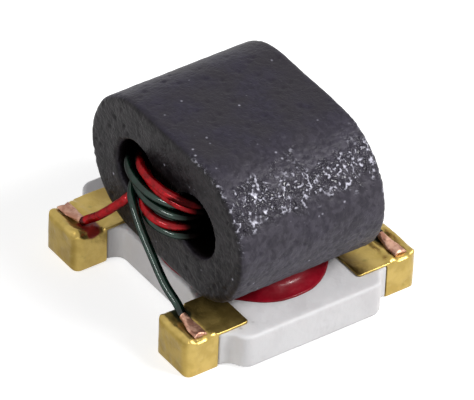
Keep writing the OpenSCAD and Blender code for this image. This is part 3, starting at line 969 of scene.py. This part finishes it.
adhesive = stacked_rings("red_adhesive", [pad_ring(k / (PAD_RINGS - 1)) for k in range(PAD_RINGS)])
print("adhesive is", round(2 * PAD_RX, 2), "by", round(2 * PAD_RY, 2), "mm and climbs", round(CLIMB, 3), "mm")

# %% Adhesive: cut to the core and the tongues
BITE = 0.02
BELOW_TOP = 0.1
under_core = along_y("under_core", rim_profile(CORE_END_R - BITE, CORE_LEN - 2 * BITE, RIM_R, -1), stadium)
move_to(under_core, places(under_core) + core_mid)
combine(adhesive, under_core, "DIFFERENCE")
tongue_low = (cap_low[0] - CAP_FIT, cap_low[1] - CAP_FIT, header_top - BELOW_TOP)
tongue_high = (cap_high[0] + CAP_FIT, cap_high[1], terminal_top + CAP_FIT)
for corner in CORNERS:
    combine(adhesive, corner_box("tongue_place", corner, tongue_low, tongue_high), "DIFFERENCE")
print("what shows of the adhesive has", len(adhesive.data.polygons), "faces")

# %% Adhesive: finish
epoxy, tree, shader = new_finish("red_epoxy", Roughness=0.45, Specular_IOR_Level=0.1,
                                 Coat_Weight=0.12, Coat_IOR=1.6, Coat_Roughness=0.15)
thin = mask_of(tree, unevenness, Size=0.4, Detail=3)
feed(tree, shader, Base_Color=tint(tree, thin, (0.18, 0.002, 0.008), (0.26, 0.003, 0.013)))
add_bump(tree, shader, [(thin, 0.01)])
finish_piece(adhesive, epoxy, "adhesive")

# %% [markdown]
# ## The two enamelled wires
#
# A red and a green wire, each as thick as a hair, go three times round the web between the holes, side
# by side. Their routes are the construction's own: bows across the web and leads to the terminals,
# worked out from places in the holes. A Curve object with a bevel could carry such a route, but the
# weld has flattened the ends, so the tube is swept ring by ring.

# %% Wires: the sizes of the windings
WIRE_R = 0.065
TURN_PITCH = 0.15
FAN_REACH = 2.1
BEND_SLOPE = 0.3
BEND_DEPTH = (HOLE_R - FAN_REACH * TURN_PITCH - WIRE_R) / BEND_SLOPE
FACE_GAP = 0.02
LEFT_HOLE_X = CORE_X - HOLE_PITCH / 2
RIGHT_HOLE_X = CORE_X + HOLE_PITCH / 2
TAIL_HALF_WID, TAIL_HALF_T = 0.10, 0.035
BOW_STEPS, LEAD_STEPS, TAIL_STEPS = 36, 9, 20
WELD_START_AT = np.array([WELD_START, -0.02])
WELD_TIP_AT = np.array([WELD_TIP, 0.0])
SAME_PLACE = 1e-6


def left_place(p):
    """(x, z) of a place in the left hole, given in turn pitches toward the web and up."""
    return LEFT_HOLE_X + p[0] * TURN_PITCH, CORE_Z + p[1] * TURN_PITCH


def right_place(p):
    """The same in the right hole."""
    return RIGHT_HOLE_X - p[0] * TURN_PITCH, CORE_Z + p[1] * TURN_PITCH


def face_y(out):
    """The core's front face for out -1, its rear face for 1."""
    return core_low[1] if out < 0 else core_high[1]


print("the wires bend", round(BEND_DEPTH, 3), "mm deep in the holes")

# %% Wires: bows across the web
def bow_share(s):
    """The share of a bow at which it has gone the share s of the way across."""
    return 0.5 - math.sin(math.asin(1 - 2 * s) / 3)


def half_bore(height):
    """Half a hole's width at that height."""
    return math.sqrt(HOLE_R ** 2 - (height - CORE_Z) ** 2)


def bow_reach(left, right, row):
    """A bow's furthest control point: clear of both edges of the web, plus its stand-off."""
    need = BEND_DEPTH + WIRE_R + FACE_GAP
    edges = [LEFT_HOLE_X + half_bore(left[1]), RIGHT_HOLE_X - half_bore(right[1])]
    shares = [bow_share((e - left[0]) / (right[0] - left[0])) for e in edges]
    return max(need / (3 * t * (1 - t)) for t in shares) + row[0] * TURN_PITCH


def bow_out(left, right, row, x):
    """How far a bow stands off the core's face at x."""
    across = min(1, max(0, (x - left[0]) / (right[0] - left[0])))
    t = bow_share(across)
    return max(0, 3 * t * (1 - t) * bow_reach(left, right, row) - BEND_DEPTH)


def cubic(p, t):
    """The point at the share t of a curve with four control points."""
    s = 1 - t
    return s * s * s * p[0] + 3 * s * s * t * p[1] + 3 * s * t * t * p[2] + t * t * t * p[3]


def bow(left, right, out, row):
    """One bow across the web, on the side out (-1 front, 1 rear)."""
    y0 = face_y(out) - out * BEND_DEPTH
    y1 = y0 + out * bow_reach(left, right, row)
    p = [np.array(q) for q in ((left[0], y0, left[1]), (left[0], y1, left[1] + row[1] * TURN_PITCH),
                               (right[0], y1, right[1] + row[2] * TURN_PITCH), (right[0], y0, right[1]))]
    return [cubic(p, t) for t in np.linspace(0, 1, BOW_STEPS + 1)]


print("a bow has", BOW_STEPS, "steps and stands", FACE_GAP, "mm off the web")

# %% Wires: leads to the terminals
def smooth_line(p):
    """A smooth line through the points."""
    p = [np.array(q, float) for q in p]
    q = [2 * p[0] - p[1]] + p + [2 * p[-1] - p[-2]]
    line = []
    for a, b, c, d in zip(q, q[1:], q[2:], q[3:]):
        for t in np.arange(LEAD_STEPS) / LEAD_STEPS:
            line.append(0.5 * (2 * b + (c - a) * t + (2 * a - 5 * b + 4 * c - d) * t ** 2
                               + (3 * b - a - 3 * c + d) * t ** 3))
    return line + [p[-1]]


def tail_half(f):
    """Half width and half thickness of the wire at the share f of its welded end."""
    s = min(1, 2 * f)
    return WIRE_R + (TAIL_HALF_WID - WIRE_R) * s, WIRE_R + (TAIL_HALF_T - WIRE_R) * s


def lead(place, out, hand, near, far, crossed):
    """From a place in the left hole to the terminal on the side out; hand is -1 left, 1 right."""
    mouth = np.array([place[0], face_y(out), place[1]])
    pad = np.array([hand * CAP_MID_X, out * CAP_MID_Y, terminal_top - WELD_SINK])
    turn = np.array([hand, out, 1])
    weld = pad + turn * [*WELD_START_AT, WIRE_R]
    over_winding = []
    for row in near:
        step = turn * row * TURN_PITCH
        over_winding.append(mouth + step + [0, out * bow_out(*crossed, mouth[0] + step[0]), 0])
    last = over_winding[-1]
    towards = [last + (weld - last) * row[0] + [0, out * row[1], row[2]] for row in far]
    line = smooth_line([mouth - [0, out * BEND_DEPTH, 0], mouth - [0, out * BEND_DEPTH / 2, 0]]
                       + over_winding + towards + [weld])
    for f in np.arange(1, TAIL_STEPS + 1) / TAIL_STEPS:
        spot = WELD_START_AT + (WELD_TIP_AT - WELD_START_AT) * f
        line.append(pad + turn * [*spot, tail_half(f)[1]])
    return line


def wire_route(wire):
    """The whole route, from one welded tip to the other."""
    left, right, hand = wire["left"], wire["right"], wire["hand"]
    route = lead(left_place(left[0]), -1, hand, wire["start_near"], wire["start_far"], first_front_bow)[::-1]
    for k in range(len(right)):
        route += bow(left_place(left[k]), right_place(right[k]), 1, wire["rear_bows"][k])
        route += bow(left_place(left[k + 1]), right_place(right[k]), -1, wire["front_bows"][k])[::-1]
    route += lead(left_place(left[-1]), 1, hand, wire["end_near"], wire["end_far"], first_rear_bow)
    return [p for i, p in enumerate(route) if i == 0 or np.linalg.norm(p - route[i - 1]) > SAME_PLACE]


print("a bare end is pressed to", 2 * TAIL_HALF_WID, "by", 2 * TAIL_HALF_T, "mm")

# %% [markdown]
# ## Where the two windings lie
#
# A place in a hole is (toward the web, up) from its axis, and a bow is (stand-off, lift at the left,
# lift at the right). A near point of a lead is (toward the terminal, outwards, up) from where the
# wire leaves the hole. All of these are in turn pitches. A far point is (share of the way to the
# weld, outwards, up), the last two in millimetres. A winder's hand can't be worked out, so these
# are plain data.

# %% Wires: both routes
red = {
    "hand": -1,
    "left": [(-0.10, -2.10), (1.35, -0.75), (0.65, 1.60), (-0.20, 2.10)],
    "right": [(1.15, -1.05), (-0.15, 1.10), (-0.50, 2.05)],
    "front_bows": [(0.84, -0.30, -0.05), (0.08, 0.55, 0.85), (0.68, 0.85, 0.80)],
    "rear_bows": [(2.08, -0.25, 0.15), (0.78, 0.15, -0.25), (0.42, 0.10, 0.10)],
    "start_near": [(0, 0.67, -0.47), (0.45, 0.93, -1.13)],
    "start_far": [(0.30, -0.01, -0.03), (0.63, -0.02, -0.04), (0.89, -0.03, -0.01)],
    "end_near": [(0.53, 1.85, -0.67), (1.53, 2.55, -2.53)],
    "end_far": [(0.38, -0.04, -0.03), (0.77, -0.02, -0.05)],
}
green = {
    "hand": 1,
    "left": [(-1.00, -0.85), (1.00, -1.85), (-0.55, 0.30), (-1.90, 0.90)],
    "right": [(0.75, -1.95), (1.05, 0.05), (1.50, 1.00)],
    "front_bows": [(0.19, -0.25, -0.10), (0.45, -0.15, -0.35), (-0.13, 0.25, -0.25)],
    "rear_bows": [(0.39, 0.05, -0.45), (-0.32, -0.05, 0.10), (0.09, 0.20, 0.30)],
    "start_near": [(2.00, 1.05, 0), (3.40, 1.15, -0.53), (5.27, 0.60, -2.07)],
    "start_far": [(0.28, 0, -0.06), (0.57, 0, -0.09), (0.85, -0.02, -0.04)],
    "end_near": [(0.67, 0.60, -0.47), (2.00, 2.13, -1.33), (4.73, 0.95, -3.27)],
    "end_far": [(0.38, 0, -0.09), (0.77, -0.03, -0.09)],
}
first_front_bow = (left_place(red["left"][1]), right_place(red["right"][0]), red["front_bows"][0])
first_rear_bow = (left_place(red["left"][0]), right_place(red["right"][0]), red["rear_bows"][0])
for name, wire in (("red", red), ("green", green)):
    wire["route"] = wire_route(wire)
    length = sum(np.linalg.norm(b - a) for a, b in zip(wire["route"], wire["route"][1:]))
    print(name, "wire:", len(wire["route"]), "rings,", round(length, 1), "mm long")

# %% [markdown]
# ## Sweeping the tube
#
# A ring of points is set square to the route at each of its steps. At both ends the welding tip has
# spread and thinned the bare copper and pressed it across, and it ends in a notch. How near a ring
# is to the bare end is kept, because the enamel is burnt there.

# %% Wires: rings and tubes
WIRE_SIDES = 26
BARE_R = 0.054
SPREAD_BY, SPREAD_POWER = 1.7, 1.5
PRESS_AT, PRESS_HALF, PRESS_DEPTH = 0.72, 0.30, 0.45
NOTCH, NOTCH_FROM = 0.05, 0.75
BURNT_STEPS = 5


def wire_ring(here, ahead, outwards, f):
    """Points round the wire at a place, f of the way along its bare end; outwards is that end's sense."""
    side = np.cross(ahead, (0, 0, 1))
    side = side / np.linalg.norm(side)
    up = np.cross(side, ahead)
    wide, thick = tail_half(f)
    if f > 0:
        wide = BARE_R + (TAIL_HALF_WID - BARE_R) * min(1, SPREAD_BY * f) ** SPREAD_POWER
    ring = []
    for k in range(WIRE_SIDES):
        a = 2 * math.pi * (k + 0.5) / WIRE_SIDES
        u, v = math.cos(a), math.sin(a)
        press = PRESS_DEPTH * hill(f - PRESS_AT, PRESS_HALF) * (1 - u * u) if v > 0 else 0
        notch = NOTCH * (1 - abs(u)) * max(0, f - NOTCH_FROM) / (1 - NOTCH_FROM)
        ring.append(here + side * wide * u + up * thick * v * (1 - press) - ahead * outwards * notch)
    return ring


def sweep_wire(name, route):
    """A tube along the route, and for each of its faces 0 for enamel or 1 for bare copper."""
    count = len(route)
    from_tip = [min(i, count - 1 - i) for i in range(count)]
    rings = []
    for i, here in enumerate(route):
        ahead = route[min(i + 1, count - 1)] - route[max(i - 1, 0)]
        outwards = -1 if i < count / 2 else 1
        f = max(0, 1 - from_tip[i] / TAIL_STEPS)
        rings.append(wire_ring(here, ahead / np.linalg.norm(ahead), outwards, f))
    wire = stacked_rings(name, rings)
    burnt = [ramp(steps - TAIL_STEPS, BURNT_STEPS, 1) for steps in from_tip]
    store(wire, "burnt", [share for share in burnt for k in range(WIRE_SIDES)])
    bare = [int(max(pair) < TAIL_STEPS) for pair in zip(from_tip, from_tip[1:])]
    return wire, [face for face in bare for k in range(WIRE_SIDES)] + [1, 1]


print("a ring has", WIRE_SIDES, "points round a wire of", 2 * WIRE_R, "mm")

# %% [markdown]
# ## Copper and enamel
#
# The bare ends are dull, hammered copper. The rest is coloured enamel over bright copper, so the base
# is half metal, and a clear coat carries the sharp glints. Layer Weight takes some of that gloss
# away toward the wire's edges, and the specular tint darkens the metal there. The turns in the holes
# are painted black as shade, and the heat of the welds has browned the enamel beside them.

# %% Wires: copper
copper, tree, shader = new_finish("bare_copper", Metallic=0.7, Specular_IOR_Level=0.3)
hammered = mask_of(tree, unevenness, Size=0.10, Detail=2)
feed(tree, shader, Base_Color=tint(tree, hammered, (0.42, 0.20, 0.135), (0.66, 0.39, 0.28)),
     Roughness=between(tree, hammered, 0.34, 0.50))
add_bump(tree, shader, [(hammered, 0.008)])

# %% Wires: enamel
EDGE_FROM, EDGE_FULL = 0.12, 0.60
EDGE_GLOSS = 0.2
BURNT_SHARE = 0.25
PAINTED_SHADE_BLACK = (0.002, 0.001, 0.001)


def enamel(name, deep, lit, gloss):
    """Coloured varnish over bright copper, with a clear coat as glossy as gloss says."""
    material, tree, shader = new_finish(name, Specular_IOR_Level=0, Specular_Tint=(0.1, 0.1, 0.1, 1),
                                        Coat_IOR=1.5, Coat_Roughness=0.12)
    streaks = mask_of(tree, unevenness, Size=0.12, Detail=3)
    bore = stored(tree, "bore")
    sideways = tree.nodes.new("ShaderNodeLayerWeight").outputs["Facing"]
    clear = between(tree, fade(tree, sideways, EDGE_FROM, EDGE_FULL), gloss, EDGE_GLOSS * gloss)
    outside = calculate(tree, "SUBTRACT", 1, bore)
    burnt = tuple(BURNT_SHARE * c for c in deep)
    varnish_and_painted_shade = tint(tree, stored(tree, "burnt"), tint(tree, streaks, deep, lit), burnt)
    # Painted shade: the turns in the holes go black and metal, and lose their clear coat.
    feed(tree, shader, Base_Color=tint(tree, bore, varnish_and_painted_shade, PAINTED_SHADE_BLACK),
         Metallic=between(tree, bore, 0.5, 1), Roughness=between(tree, streaks, 0.26, 0.38),
         Coat_Weight=calculate(tree, "MULTIPLY", clear, outside))
    add_bump(tree, shader, [(streaks, 0.003)])
    return material


red_enamel = enamel("red_enamel", (0.22, 0.001, 0.003), (0.40, 0.001, 0.007), 0.45)
green_enamel = enamel("green_enamel", (0.002, 0.016, 0.009), (0.005, 0.032, 0.019), 1.0)

# %% Wires: both
WIRE_SHADE_IN = (-0.16, 0.05)
SHADE_IN = (-0.5, -0.3)
SHADE_ABOVE = (0.20, 0.36)
SHADE = 0.9


def wire_darkness(p):
    """Painted shade: 1 on the turns inside the holes, a little less on the turns high in their mouths."""
    high = SHADE * ramp(p[2] - CORE_Z, *SHADE_ABOVE) * in_bore(p, *SHADE_IN)
    return max(in_bore(p, *WIRE_SHADE_IN), high)


for name, wire, material in (("red", red, red_enamel), ("green", green, green_enamel)):
    winding, materials = sweep_wire(name + "_winding", wire["route"])
    # Painted shade on the turns inside the holes and high in their mouths.
    store(winding, "bore", [wire_darkness(p) for p in places(winding)])
    finish_piece(winding, material, name + "_wire")
    winding.data.materials.append(copper)
    winding.data.polygons.foreach_set("material_index", materials)
